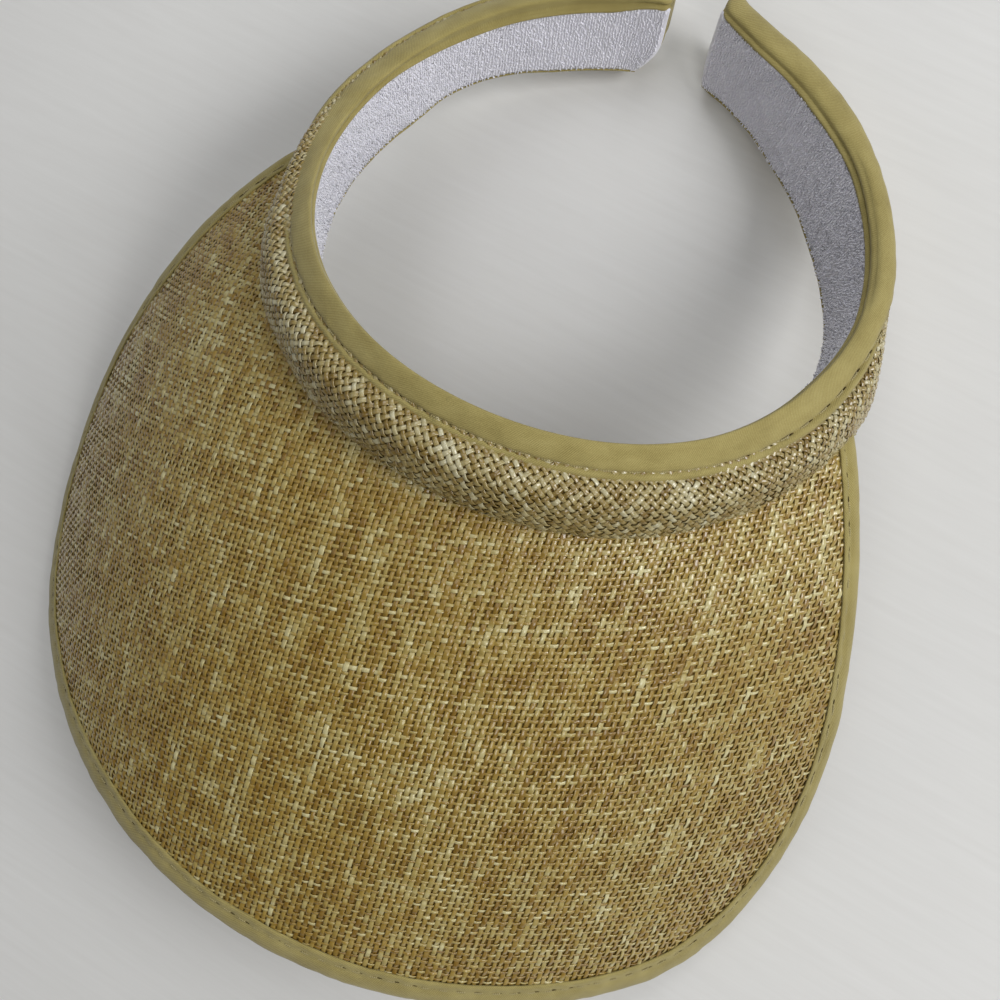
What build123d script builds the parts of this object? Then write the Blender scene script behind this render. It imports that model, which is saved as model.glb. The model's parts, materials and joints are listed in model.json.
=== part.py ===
from build123d import *
from math import cos, degrees, radians, sin, sqrt
import os

# Clip-on sun visor with a woven straw brim and a padded, C-shaped headband.
#
# It is drawn in the headband's own frame and tilted into its resting attitude at the end.
# Headband frame: Z is the headband's axis, with z = 0 at the top edge's front and back,
# -Y is the front, and X = 0 is the brim's plane of symmetry. Millimetres and degrees.
# An angle on the headband is counted from the front towards +X.

# ---------------------------------------------------------------- driving dimensions

# headband, seen from above
tape_radius = 80.0             # outer edge of the tape on top of the band
tape_width = 8.2
lining_radius = 71.0           # inner face of the terry
terry_thickness = 2.5
strip_thickness = 1.2
cover_radius = 85.5            # outer face of the straw cover, pushed out by the foam
cover_thickness = 0.8
left_end_angle = 170.3         # the arms end here, so their ends leave a gap at the back,
right_end_angle = 179.7        # which sits a little to the left of the middle
end_cap_thickness = 1.2

# headband, seen from the side
saddle_drop = 11.2             # the top edge dips this far at the two sides
band_height = 24.5
tape_thickness = 2.2
strip_margin = 4.0             # the spring strip is narrower than the band on both edges

# arm flex: each arm bends about one line across the band
hinge_angle = 118.0
hinge_clearance = 0.35

# brim, seen from above
tip_y = -192.3
front_arc_radius = 162.0
front_arc_sweep = 44.0
corner_arc_radius = 67.0
corner_arc_sweep = 84.0
side_end_y = -11.0             # the brim's straight side edges run into the band here

# brim surface: how it falls away from the band
crease_radius = 86.5
crease_drop = 22.6             # below the band's top edge at the front
crease_side_drop = 2.2         # further drop of the crease at the sides
front_slope = 0.78             # fall per millimetre at the crease
side_slope = 0.48
front_curve = 0.0026           # extra fall, per millimetre squared
side_curve = 0.0113

# brim layers, measured vertically
lining_thickness = 0.5
board_thickness = 1.2
straw_thickness = 0.7
brim_thickness = lining_thickness + board_thickness + straw_thickness
edge_tape_width = 5.4           # in plan; the fall of the brim makes it about 8 along the cloth
edge_tape_thickness = 0.6

# stitches
stitch_width = 0.5
stitch_gap = 0.08              # the thread stands this far off its cloth
band_stitch = (4.0, 7.5)       # length and pitch
edge_stitch = (3.0, 6.0)
seam_stitch = (4.0, 9.0)

# the visor stands on its brim's two side corners and its arm ends
rest_tilt = 31.45

# ---------------------------------------------------------------- derived values

saddle_radius = (tape_radius**2 + saddle_drop**2) / (2 * saddle_drop)
terry_outer = lining_radius + terry_thickness
strip_outer = terry_outer + strip_thickness
foam_outer = cover_radius - cover_thickness
tape_inner = tape_radius - tape_width
knuckle_radius = (cover_radius - lining_radius) / 2
knuckle_centre_radius = (cover_radius + lining_radius) / 2
tall = 120.0                   # height of cutting prisms


def polar(radius, angle):
    return (radius * sin(radians(angle)), -radius * cos(radians(angle)))


def top_edge(y):
    """Height of the band's top edge: an arc, seen from the side."""
    return saddle_radius - saddle_drop - sqrt(saddle_radius**2 - y**2)


def brim_top(x, y):
    """Height of the brim's upper face over a point of its plan."""
    radius = sqrt(x**2 + y**2)
    forward = -y / radius
    sideways = 1 - forward**2
    out = radius - crease_radius
    start = -crease_drop - crease_side_drop * sideways
    slope = side_slope + (front_slope - side_slope) * forward
    curve = front_curve + (side_curve - front_curve) * sideways
    return start - slope * out - curve * out**2


# ---------------------------------------------------------------- headband


def ring_plan(inner, outer, start, end):
    """Flat piece of a ring between two radii and two angles."""
    middle = (start + end) / 2
    edges = [
        ThreePointArc(polar(outer, start), polar(outer, middle), polar(outer, end)),
        Line(polar(outer, end), polar(inner, end)),
        ThreePointArc(polar(inner, end), polar(inner, middle), polar(inner, start)),
        Line(polar(inner, start), polar(outer, start)),
    ]
    return make_face(edges)


def knuckle(side, radius):
    return Pos(*polar(knuckle_centre_radius, side * hinge_angle)) * Circle(radius)


def front_plan(inner, outer):
    """The front part's share of a ring, hollowed at both ends to let the arms turn."""
    plan = ring_plan(inner, outer, -hinge_angle, hinge_angle)
    for side in (-1, 1):
        plan -= knuckle(side, knuckle_radius + hinge_clearance)
    return plan


def arm_plan(side, inner, outer, end):
    """One arm's share of a ring, with a round end that sits in the front part's hollow."""
    reach = hinge_angle - degrees(knuckle_radius / lining_radius) - 1
    nose = ring_plan(inner, outer, side * reach, side * hinge_angle)
    nose &= knuckle(side, knuckle_radius)
    return ring_plan(inner, outer, side * hinge_angle, side * end) + nose


def slab(upper, lower):
    """Space between two depths below the band's curved top edge."""
    reach = 2 * cover_radius
    half = tape_radius
    ends = [(y, top_edge(y)) for y in (-1.15 * half, 0, 1.15 * half)]
    high = [(y, z - upper) for y, z in ends]
    low = [(y, z - lower) for y, z in ends]
    edges = [
        ThreePointArc(*high),
        Line(high[2], low[2]),
        ThreePointArc(*reversed(low)),
        Line(low[0], high[0]),
    ]
    return extrude(Plane.YZ * make_face(edges), amount=reach, both=True)


def wall(plan, upper, lower):
    """A plan made into a solid between two depths below the top edge."""
    prism = extrude(Pos(0, 0, -tall / 2) * plan, amount=tall)
    return prism & slab(upper, lower)


def cover(plan_of):
    """Straw skin: outer wall, with flanges over the top and under the bottom of the foam."""
    skin = wall(plan_of(foam_outer, cover_radius), tape_thickness, band_height)
    top = wall(plan_of(tape_radius, cover_radius), tape_thickness, tape_thickness + cover_thickness)
    bottom = wall(plan_of(terry_outer, cover_radius), band_height - cover_thickness, band_height)
    return skin + top + bottom


def band_layers(plan_of):
    """The five layers of one stretch of headband, by name."""
    foam_top = tape_thickness + cover_thickness
    foam_bottom = band_height - cover_thickness
    strip_top = tape_thickness + strip_margin
    strip_bottom = band_height - strip_margin
    return {
        "cover": cover(plan_of),
        "foam": wall(plan_of(strip_outer, foam_outer), foam_top, foam_bottom),
        "spring_strip": wall(plan_of(terry_outer, strip_outer), strip_top, strip_bottom),
        "sweatband": wall(plan_of(lining_radius, terry_outer), tape_thickness, band_height),
        "top_binding": wall(plan_of(tape_inner, tape_radius), 0, tape_thickness),
    }


# ---------------------------------------------------------------- stitches


def stitch(point, ahead, beside, length, side=1):
    """One stitch on a face through three nearby points, on the face's upper or lower side."""
    along = Vector(*ahead) - Vector(*point)
    across = Vector(*beside) - Vector(*point)
    normal = along.cross(across).normalized()
    centre = Vector(*point) + normal * side * (stitch_width / 2 + stitch_gap)
    return Plane(origin=centre, x_dir=along, z_dir=normal) * Box(length, stitch_width, stitch_width)


def top_stitches(start, end):
    """Running stitch near the outer edge of the tape on top of the band."""
    radius = tape_radius - 1.6
    length, pitch = band_stitch
    count = int(radians(end - start) * radius / pitch)
    row = []
    for i in range(count):
        angle = start + (i + 0.5) * (end - start) / count
        points = []
        for r, a in ((radius, angle), (radius, angle + 1), (radius - 1, angle)):
            x, y = polar(r, a)
            points.append((x, y, top_edge(y)))
        row.append(stitch(*points, length))
    return Compound(row)


def brim_stitches(path, height, pattern, side=1):
    """Stitches along a plan path, on a face at a height above the brim's upper face."""
    length, pitch = pattern
    count = int(path.length / pitch)
    row = []
    for i in range(count):
        at = (i + 0.5) / count
        here = path @ at
        ahead = path @ (at + 0.5 / path.length)
        beside = here + (path % at).rotate(Axis.Z, 90) * 0.5
        points = [(p.X, p.Y, brim_top(p.X, p.Y) + height) for p in (here, ahead, beside)]
        row.append(stitch(*points, length, side))
    return Compound(row)


# ---------------------------------------------------------------- brim


def outline_edges(outset):
    """The brim's free edge, seen from above, as two lines and three tangent arcs."""
    front = front_arc_radius + outset
    corner = corner_arc_radius + outset
    front_centre_y = tip_y + front_arc_radius
    offset = front_arc_radius - corner_arc_radius
    corner_x = offset * sin(radians(front_arc_sweep))
    corner_y = front_centre_y - offset * cos(radians(front_arc_sweep))

    def on_corner(sweep):
        x, y = polar(corner, sweep)
        return (corner_x + x, corner_y + y)

    last = front_arc_sweep + corner_arc_sweep
    a, b, c = (on_corner(front_arc_sweep + k * corner_arc_sweep / 2) for k in (0, 1, 2))
    run = (side_end_y - c[1]) / sin(radians(last))
    d = (c[0] + run * cos(radians(last)), side_end_y)

    def left(p):
        return (-p[0], p[1])

    return [
        Line(left(d), left(c)),
        ThreePointArc(left(c), left(b), left(a)),
        ThreePointArc(left(a), (0, front_centre_y - front), a),
        ThreePointArc(a, b, c),
        Line(c, d),
    ]


def brim_plan(outset):
    """The brim's plan, from its free edge to the straw cover of the band."""
    edges = outline_edges(outset)
    edges.append(Line(edges[-1] @ 1, edges[0] @ 0))
    return make_face(edges) - Circle(cover_radius)


def brim_face(height):
    """The brim's curved upper face, raised by a height, and larger than its plan."""
    rows = []
    for angle in range(-96, 97, 8):
        far = crease_radius + 66 + 52 * cos(radians(angle))
        near = crease_radius - 9
        row = []
        for k in range(10):
            x, y = polar(near + (far - near) * k / 9, angle)
            row.append(Vector(x, y, brim_top(x, y) + height))
        rows.append(row)
    return Face.make_surface_from_array_of_points(rows)


def brim_layer(plan, lower, upper):
    """The part of a plan between two heights above the brim's upper face."""
    plate = extrude(brim_face(lower), amount=upper - lower, dir=(0, 0, 1))
    prism = extrude(Pos(0, 0, -2 * tall) * plan, amount=2.5 * tall)
    return plate & prism


def edge_binding():
    """Tape folded round the brim's edge: a U in section."""
    strip = brim_plan(edge_tape_thickness) - brim_plan(-edge_tape_width)
    tape = brim_layer(strip, -brim_thickness - edge_tape_thickness, edge_tape_thickness)
    return tape - brim_layer(brim_plan(0), -brim_thickness, 0)


def brim_nodes():
    plan = brim_plan(0)
    board_top = -straw_thickness
    board_bottom = board_top - board_thickness
    inset = edge_tape_width - 1.1
    edge_path = Wire(outline_edges(-inset)[1:4])
    seam = cover_radius + 0.9
    crease = ThreePointArc(polar(seam, -72), polar(seam, 0), polar(seam, 72))
    return {
        "brim_straw_top": brim_layer(plan, board_top, 0),
        "brim_stiffener": brim_layer(plan, board_bottom, board_top),
        "brim_lining": brim_layer(plan, -brim_thickness, board_bottom),
        "brim_edge_binding": edge_binding(),
        "brim_edge_stitching": brim_stitches(edge_path, edge_tape_thickness, edge_stitch),
        "brim_seam_stitching": brim_stitches(crease, -brim_thickness, seam_stitch, side=-1),
    }


# ---------------------------------------------------------------- assembly


def arm_nodes(side, name, end_angle):
    body_end = end_angle - degrees(end_cap_thickness / cover_radius)

    def plan_of(inner, outer):
        return arm_plan(side, inner, outer, body_end)

    nodes = {f"{name}_{layer}": solid for layer, solid in band_layers(plan_of).items()}
    start = hinge_angle + 8
    first, last = (start, body_end) if side > 0 else (-body_end, -start)
    nodes[f"{name}_top_stitching"] = top_stitches(first, last)
    cap = ring_plan(lining_radius, cover_radius, side * body_end, side * end_angle)
    nodes[f"{name}_end_tab"] = wall(cap, tape_thickness, band_height)
    return nodes


def front_nodes():
    nodes = {}
    for layer, solid in band_layers(front_plan).items():
        name = "front_band_cover" if layer == "cover" else f"front_{layer}"
        nodes[name] = solid
    last = hinge_angle - 8
    nodes["front_top_stitching"] = top_stitches(-last, last)
    return nodes


def at_rest(shape, drop=0.0, shift=0.0):
    """From the headband frame to the frame the part stands in."""
    return Pos(0, -shift, -drop) * Rot(-rest_tilt, 0, 0) * shape


nodes = brim_nodes()
nodes.update(front_nodes())
nodes.update(arm_nodes(-1, "left_arm", left_end_angle))
nodes.update(arm_nodes(1, "right_arm", right_end_angle))

standing = [at_rest(shape).bounding_box() for shape in nodes.values()]
floor = min(box.min.Z for box in standing)
middle = (min(box.min.Y for box in standing) + max(box.max.Y for box in standing)) / 2

os.makedirs("parts", exist_ok=True)
for name, shape in nodes.items():
    export_step(at_rest(shape, floor, middle), f"parts/{name}.step")
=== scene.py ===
import json
from math import atan2, cos, radians, sin, sqrt

import bmesh
import bpy
import numpy as np
from mathutils import Euler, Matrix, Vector


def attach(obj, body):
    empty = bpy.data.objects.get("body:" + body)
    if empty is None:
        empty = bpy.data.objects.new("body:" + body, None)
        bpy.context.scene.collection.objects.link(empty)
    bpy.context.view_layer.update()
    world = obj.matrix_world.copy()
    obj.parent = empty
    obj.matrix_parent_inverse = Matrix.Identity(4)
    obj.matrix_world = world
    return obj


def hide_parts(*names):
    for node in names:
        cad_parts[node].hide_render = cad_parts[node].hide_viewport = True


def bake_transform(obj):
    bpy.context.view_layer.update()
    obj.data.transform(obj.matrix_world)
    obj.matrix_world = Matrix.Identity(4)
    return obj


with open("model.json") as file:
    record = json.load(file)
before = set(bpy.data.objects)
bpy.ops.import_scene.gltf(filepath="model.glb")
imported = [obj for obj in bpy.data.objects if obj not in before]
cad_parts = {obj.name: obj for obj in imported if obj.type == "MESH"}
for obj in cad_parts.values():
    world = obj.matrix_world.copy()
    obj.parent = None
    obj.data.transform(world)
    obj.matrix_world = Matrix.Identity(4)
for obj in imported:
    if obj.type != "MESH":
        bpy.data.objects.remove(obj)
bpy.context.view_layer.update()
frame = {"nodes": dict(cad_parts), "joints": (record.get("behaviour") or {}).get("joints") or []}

# Lengths are millimetres in the headband's own frame until row_points() turns them into metres in
# the row frame: Z is the headband's axis, -Y is the front, angles count from the front towards +X.

# ---------------------------------------------------------------- dimensions

TAPE_RADIUS = 80.0              # the band's reference circle, under the tape's outer edge
SADDLE_DROP = 11.2              # the top edge dips this far at the sides
BAND_HEIGHT = 24.5
CREASE_RADIUS = 86.5
LEFT_END, RIGHT_END = 170.3, 179.7
HINGE_RADIUS, HINGE_ANGLE, HINGE_DEPTH = 78.25, 118.0, 12.0

TIP_Y = -192.3
FRONT_ARC, FRONT_SWEEP = 162.0, 44.0
CORNER_ARC, CORNER_SWEEP = 67.0, 84.0
SIDE_END_Y = -11.0

# the brim's cloth was drawn askew over the arch: its warps fan out from a far point, and its
# wefts run in arcs round a nearer one
WARP_PITCH, WEFT_PITCH = 1.60, 1.38
WARP_CENTRE, WARP_REACH = (-76.0, 560.0), 674.0
WEFT_CENTRE = (-50.0, 70.0)
BIAS_PITCH = 1.72
THREAD_STEP = 0.46              # between the points along a brim thread
COVER_RADIUS, TERRY_RADIUS = 84.5, 72.0   # where arc lengths of the cover and the towelling are taken
TERRY_BOTTOM = 24.5

END_GAP = 0.35                     # degrees that cover and towelling stop short of an arm's end

STITCH_WIDTH = 0.44
TAPE_STITCH, TAPE_STITCH_LENGTH = 7.0, 3.7
EDGE_STITCH, EDGE_STITCH_LENGTH = 5.2, 2.9
SEAM_STITCH, SEAM_STITCH_LENGTH = 3.6, 2.4    # degrees round the band

SADDLE_RADIUS = (TAPE_RADIUS**2 + SADDLE_DROP**2) / (2 * SADDLE_DROP)

# ---------------------------------------------------------------- frames

joint = {j["name"]: j for j in frame["joints"]}["left_arm_flex"]
tilt = atan2(joint["axis"][1], joint["axis"][2])
TURN = np.array([[1, 0, 0], [0, cos(tilt), sin(tilt)], [0, -sin(tilt), cos(tilt)]])


def polar(radius, angle):
    a = np.radians(angle)
    return radius * np.sin(a), -radius * np.cos(a)


hinge_x, hinge_y = polar(HINGE_RADIUS, -HINGE_ANGLE)
SHIFT = np.array(joint["pos_m"]) * 1000 - TURN @ np.array([hinge_x, hinge_y, -HINGE_DEPTH])


def row_points(points):
    return (np.asarray(points, float) @ TURN.T + SHIFT) / 1000


def unit(vectors, least=0.0):
    return vectors / (np.linalg.norm(vectors, axis=-1, keepdims=True) + least)


def run_along(x, y):
    """Distance along a line at each of its points."""
    return np.append(0, np.cumsum(np.hypot(np.diff(x), np.diff(y))))


def cloth_place(along, across):
    """Place in the cloth, which the weave and grain of a material follow."""
    along, across = np.broadcast_arrays(np.asarray(along, float), np.asarray(across, float))
    return np.stack([along, across, np.zeros(along.shape)], -1)


def ease(value, start, end):
    t = np.clip((value - start) / (end - start), 0, 1)
    return t * t * (3 - 2 * t)


# ---------------------------------------------------------------- random numbers and noise


class Field:
    """Smooth repeatable noise from -1 to 1 over a plane, from one seeded table."""

    def __init__(self, seed, size=256):
        self.size = size
        self.table = np.random.default_rng(seed).uniform(-1, 1, (size, size))

    def __call__(self, x, y):
        x, y = np.broadcast_arrays(np.asarray(x, float), np.asarray(y, float))
        i, j = np.floor(x).astype(int), np.floor(y).astype(int)
        fx, fy = x - i, y - j
        fx, fy = fx * fx * (3 - 2 * fx), fy * fy * (3 - 2 * fy)
        n, t = self.size, self.table
        a, b = t[i % n, j % n], t[(i + 1) % n, j % n]
        c, d = t[i % n, (j + 1) % n], t[(i + 1) % n, (j + 1) % n]
        return (a + (b - a) * fx) * (1 - fy) + (c + (d - c) * fx) * fy


slow, middling, fast, spare = Field(11), Field(12), Field(13), Field(14)

# ---------------------------------------------------------------- surfaces


def top_edge(angle):
    y = TAPE_RADIUS * np.cos(np.radians(angle))
    return SADDLE_RADIUS - SADDLE_DROP - np.sqrt(SADDLE_RADIUS**2 - y**2)


def brim_height(x, y):
    """The brim's upper face, with the slight unevenness of pressed board."""
    radius = np.hypot(x, y)
    forward = -y / radius
    sideways = 1 - forward**2
    out = radius - CREASE_RADIUS
    slope = 0.48 + 0.30 * forward
    curve = 0.0026 + 0.0087 * sideways
    z = -22.6 - 2.2 * sideways - slope * out - curve * out**2
    return z + 0.16 * (1 + slow(x / 34, y / 34)) * np.clip(out / 20, 0, 1)


def brim_points(x, y, lift=0.0):
    """Points on the brim, lifted along its normal."""
    step = 0.5
    dx = (brim_height(x + step, y) - brim_height(x - step, y)) / (2 * step)
    dy = (brim_height(x, y + step) - brim_height(x, y - step)) / (2 * step)
    normal = unit(np.stack([-dx, -dy, np.ones_like(dx)], -1))
    points = np.stack([x, y, brim_height(x, y)], -1)
    return points + normal * np.asarray(lift)[..., None], normal


def outline(outset, step=1.0):
    """The brim's free edge from the left side end round the front to the right one."""
    front, corner = FRONT_ARC + outset, CORNER_ARC + outset
    centre_y = TIP_Y + FRONT_ARC
    offset = FRONT_ARC - CORNER_ARC
    corner_x = offset * sin(radians(FRONT_SWEEP))
    corner_y = centre_y - offset * cos(radians(FRONT_SWEEP))
    last = FRONT_SWEEP + CORNER_SWEEP
    a = np.arange(0, FRONT_SWEEP, np.degrees(step / front))
    b = np.linspace(FRONT_SWEEP, last, int(radians(CORNER_SWEEP) * corner / step))
    x1, y1 = polar(front, a)
    x2, y2 = polar(corner, b)
    x, y = np.append(x1, corner_x + x2), np.append(centre_y + y1, corner_y + y2)
    run = (SIDE_END_Y - y[-1]) / sin(radians(last))
    t = np.linspace(0, run, int(run / step))[1:]
    x = np.append(x, x[-1] + t * cos(radians(last)))
    y = np.append(y, y[-1] + t * sin(radians(last)))
    return np.append(-x[:0:-1], x), np.append(y[:0:-1], y)


EDGE_CENTRE = -60.0
edge_x, edge_y = outline(0.0, 0.5)
edge_angle = np.degrees(np.arctan2(edge_x, -(edge_y - EDGE_CENTRE)))
edge_reach = np.hypot(edge_x, edge_y - EDGE_CENTRE)


def on_brim(x, y, inner, inset):
    """Whether a point of the plan is on the brim, between the band and the edge."""
    angle = np.degrees(np.arctan2(x, -(y - EDGE_CENTRE)))
    reach = np.interp(angle, edge_angle, edge_reach)
    inside = np.hypot(x, y - EDGE_CENTRE) < reach - inset
    return inside & (np.hypot(x, y) > inner) & (y < SIDE_END_Y)


def curve_through(points, count):
    """A smooth curve through control points, at equal steps along it."""
    p = np.asarray(points, float)
    p = np.vstack([2 * p[0] - p[1], p, 2 * p[-1] - p[-2]])
    out = []
    for k in range(1, len(p) - 2):
        t = np.linspace(0, 1, 24, endpoint=False)[:, None]
        a, b, c, d = p[k - 1], p[k], p[k + 1], p[k + 2]
        out.append(0.5 * (2 * b + (c - a) * t + (2 * a - 5 * b + 4 * c - d) * t**2
                          + (3 * b - a - 3 * c + d) * t**3))
    line = np.vstack(out + [p[-2][None]])
    run = run_along(*line.T)
    at = np.linspace(0, run[-1], count)
    return np.stack([np.interp(at, run, line[:, k]) for k in (0, 1)], 1), run[-1]


def band_points(angle, out, depth):
    """Points of the band: out from the reference circle, and down from the top edge."""
    angle, out, depth = np.broadcast_arrays(angle, out, depth)
    side = np.sign(angle)
    end = np.where(angle < 0, LEFT_END, RIGHT_END)
    # the end's lower corner is cut back, more so on the left
    to_end = np.radians(end - np.abs(angle)) * TAPE_RADIUS
    near = np.clip(1 - to_end / 15, 0, 1) ** 2
    cut = np.where(side < 0, 6.5, 1.6) * np.clip((depth - 12) / 12.5, 0, 1) ** 2 * near
    angle = angle - side * np.degrees(cut / TAPE_RADIUS)
    # each arm's lower edge strays from the circle a little, and the right arm's tip springs open
    right = 4.3 * ease(angle, 95, 132) * (1 - 0.75 * ease(angle, 148, 168) + 0.42 * ease(angle, 170, 180))
    left = (-2.4 * ease(-angle, 106, 122) * (1 - ease(-angle, 128, 146))
            + 1.0 * ease(-angle, 138, 150) * (1 - ease(-angle, 155, 168)))
    inside = np.clip(-out / 7.5, 0.25, 1)
    low = np.clip(depth / BAND_HEIGHT, 0, 1)
    out = out - (right + left) * inside * low + 2.0 * twist(angle) * (1 - low)
    out = out + 0.024 * np.clip(angle - 163, 0, 20) ** 2
    x, y = polar(TAPE_RADIUS + out, angle)
    return np.stack([x, y, top_edge(angle) - depth], -1)


def front_share(angle):
    return np.clip(np.cos(np.radians(angle)), 0, 1) ** 2


def twist(angle):
    """Where the right arm's top edge leans out."""
    return ease(angle, 72, 98) * (1 - ease(angle, 130, 150))


def arm_share(angle):
    """How much of the arm's slimmer section the cover has: it starts sooner on the left."""
    return np.where(angle < 0, ease(-angle, 45, 88), ease(angle, 84, 108))


# the straw cover's section, from under the tape round the outside to the terry's lower edge
COVER_COUNT = 240
cover_side, COVER_LENGTH = curve_through(
    [(-3.0, 4.0), (-0.7, 5.2), (2.6, 6.1), (4.9, 8.4), (6.3, 12), (6.9, 16.0), (6.3, 20.4),
     (3.2, 23.9), (-2, 25.0), (-7.4, 24.6)], COVER_COUNT)
cover_front, _ = curve_through(
    [(-4.0, 3.4), (-1.9, 5.0), (1.5, 5.6), (4.4, 7.6), (6.0, 12), (6.7, 16.5), (6.2, 20.6),
     (3.2, 23.9), (-2, 25.0), (-7.4, 24.6)], COVER_COUNT)
cover_arm, _ = curve_through(
    [(-3.0, 1.2), (-0.6, 1.9), (0.4, 3.0), (0.7, 5.5), (0.8, 10), (0.8, 16), (0.4, 20.6),
     (-1.6, 23.7), (-4.5, 24.9), (-7.4, 24.6)], COVER_COUNT)


def cover_section(angle, along):
    """Out and depth of the cover at a distance along its section."""
    t = np.clip(along / COVER_LENGTH, 0, 1) * (COVER_COUNT - 1)
    w, arm = front_share(angle), arm_share(angle)
    axis = np.arange(COVER_COUNT)
    pick = []
    for k in (0, 1):
        side, front, slim = (np.interp(t, axis, c[:, k]) for c in (cover_side, cover_front, cover_arm))
        pick.append((side * (1 - w) + front * w) * (1 - arm) + slim * arm)
    out, depth = pick
    return out - 2.0 * twist(angle) * np.clip(1 - depth / BAND_HEIGHT, 0, 1), depth


def cover_points(arc, along):
    """Points and normals of the straw cover at an arc length round the band."""

    def at(arc, along):
        angle = np.degrees(arc / COVER_RADIUS)
        out, depth = cover_section(angle, along)
        swell = 0.30 * slow(arc / 17, along / 9 + 40) + 0.12 * slow(arc / 5, along / 5 + 90)
        swell = swell * np.clip(along / 4, 0, 1) * np.clip((COVER_LENGTH - along) / 6, 0, 1)
        return band_points(angle, out + swell, depth)

    step = 0.4
    centre = at(arc, along)
    one = at(arc + step, along) - at(arc - step, along)
    two = at(arc, np.minimum(along + step, COVER_LENGTH)) - at(arc, np.maximum(along - step, 0))
    return centre, unit(np.cross(two, one))


# ---------------------------------------------------------------- mesh building


def link(made):
    bpy.context.scene.collection.objects.link(made)
    return made


class Build:
    """Points, faces and point values of one piece, gathered strip by strip."""

    def __init__(self):
        self.points, self.faces, self.smooth, self.values, self.count = [], [], [], {}, 0

    def add(self, points, faces, caps=0, **values):
        """Adds a strip; its last faces, as many as caps says, are shaded flat."""
        points = np.asarray(points, float).reshape(-1, 3)
        self.points.append(points)
        self.faces.append(np.asarray(faces, int).reshape(-1, 4) + self.count)
        flags = np.ones(len(self.faces[-1]), bool)
        flags[len(flags) - caps:] = False
        self.smooth.append(flags)
        for name, value in values.items():
            value = np.asarray(value, float).reshape(len(points), -1)
            self.values.setdefault(name, []).append(value)
        self.count += len(points)

    def piece(self, name, material, smooth=True):
        mesh = bpy.data.meshes.new(name)
        faces = np.concatenate(self.faces)
        mesh.from_pydata(row_points(np.concatenate(self.points)).tolist(), [], faces.tolist())
        for key, parts in self.values.items():
            value = np.concatenate(parts).astype(np.float32)
            kind = "FLOAT" if value.shape[1] == 1 else "FLOAT_VECTOR"
            layer = mesh.attributes.new(key, kind, "POINT")
            layer.data.foreach_set("value" if kind == "FLOAT" else "vector", value.ravel())
        mesh.polygons.foreach_set("use_smooth", np.concatenate(self.smooth) & smooth)
        mesh.update()
        mesh.validate()
        mesh.materials.append(material)
        return link(bpy.data.objects.new(name, mesh))


def grid_faces(rows, columns, ring=False, first=False, last=False):
    """Quads of a grid of points; ring joins the last column to the first one."""
    i, j = np.meshgrid(np.arange(rows - 1), np.arange(columns if ring else columns - 1), indexing="ij")
    k = (j + 1) % columns
    faces = np.stack([i * columns + j, i * columns + k, (i + 1) * columns + k,
                      (i + 1) * columns + j], -1).reshape(-1, 4)
    caps = []
    for row, wanted in ((0, first), (rows - 1, last)):
        if wanted:
            base = row * columns
            half = columns // 2
            j = np.arange(half - 1)
            cap = np.stack([base + j, base + j + 1, base + columns - 2 - j, base + columns - 1 - j], -1)
            caps.append(cap if row else cap[:, ::-1])
    return np.concatenate([faces, *caps])


RIBBON = np.array([(0.5, -0.05), (0.32, 0.46), (-0.32, 0.46), (-0.5, -0.05), (-0.30, -0.5), (0.30, -0.5)])
SIDES = len(RIBBON)


def end_caps(columns):
    """How many faces grid_faces adds when it closes both ends of a ring of columns."""
    return 2 * (columns // 2 - 1)


def tube(build, centres, normals, width, height, roll=None, ribbon=False, **values):
    """A thread along its centres: a closed tube, round or, for a ribbon, crowned and flat."""
    n = len(centres)
    ahead = np.gradient(centres, axis=0)
    across = unit(np.cross(ahead, normals), 1e-12)
    up = unit(np.cross(across, ahead), 1e-12)
    if roll is not None:
        turned = across * np.cos(roll)[:, None] + up * np.sin(roll)[:, None]
        up = up * np.cos(roll)[:, None] - across * np.sin(roll)[:, None]
        across = turned
    a = np.arange(SIDES) * 2 * np.pi / SIDES
    width, height = (np.broadcast_to(v, (n,)) for v in (width, height))
    shape = RIBBON if ribbon else np.stack([np.cos(a), np.sin(a)], -1) / 2
    points = (centres[:, None] + across[:, None] * (shape[None, :, :1] * width[:, None, None])
              + up[:, None] * (shape[None, :, 1:] * height[:, None, None]))
    faces = grid_faces(n, SIDES, ring=True, first=True, last=True)
    spread = {k: np.repeat(np.asarray(v, float).reshape(n, -1), SIDES, axis=0) for k, v in values.items()}
    build.add(points, faces[:, ::-1], caps=end_caps(SIDES), **spread)


def runs(mask, least=3):
    """Start and end of each unbroken run of a mask."""
    edges = np.flatnonzero(np.diff(np.concatenate([[0], mask.astype(int), [0]])))
    return [(a, b) for a, b in zip(edges[::2], edges[1::2]) if b - a >= least]


# ---------------------------------------------------------------- materials


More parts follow.
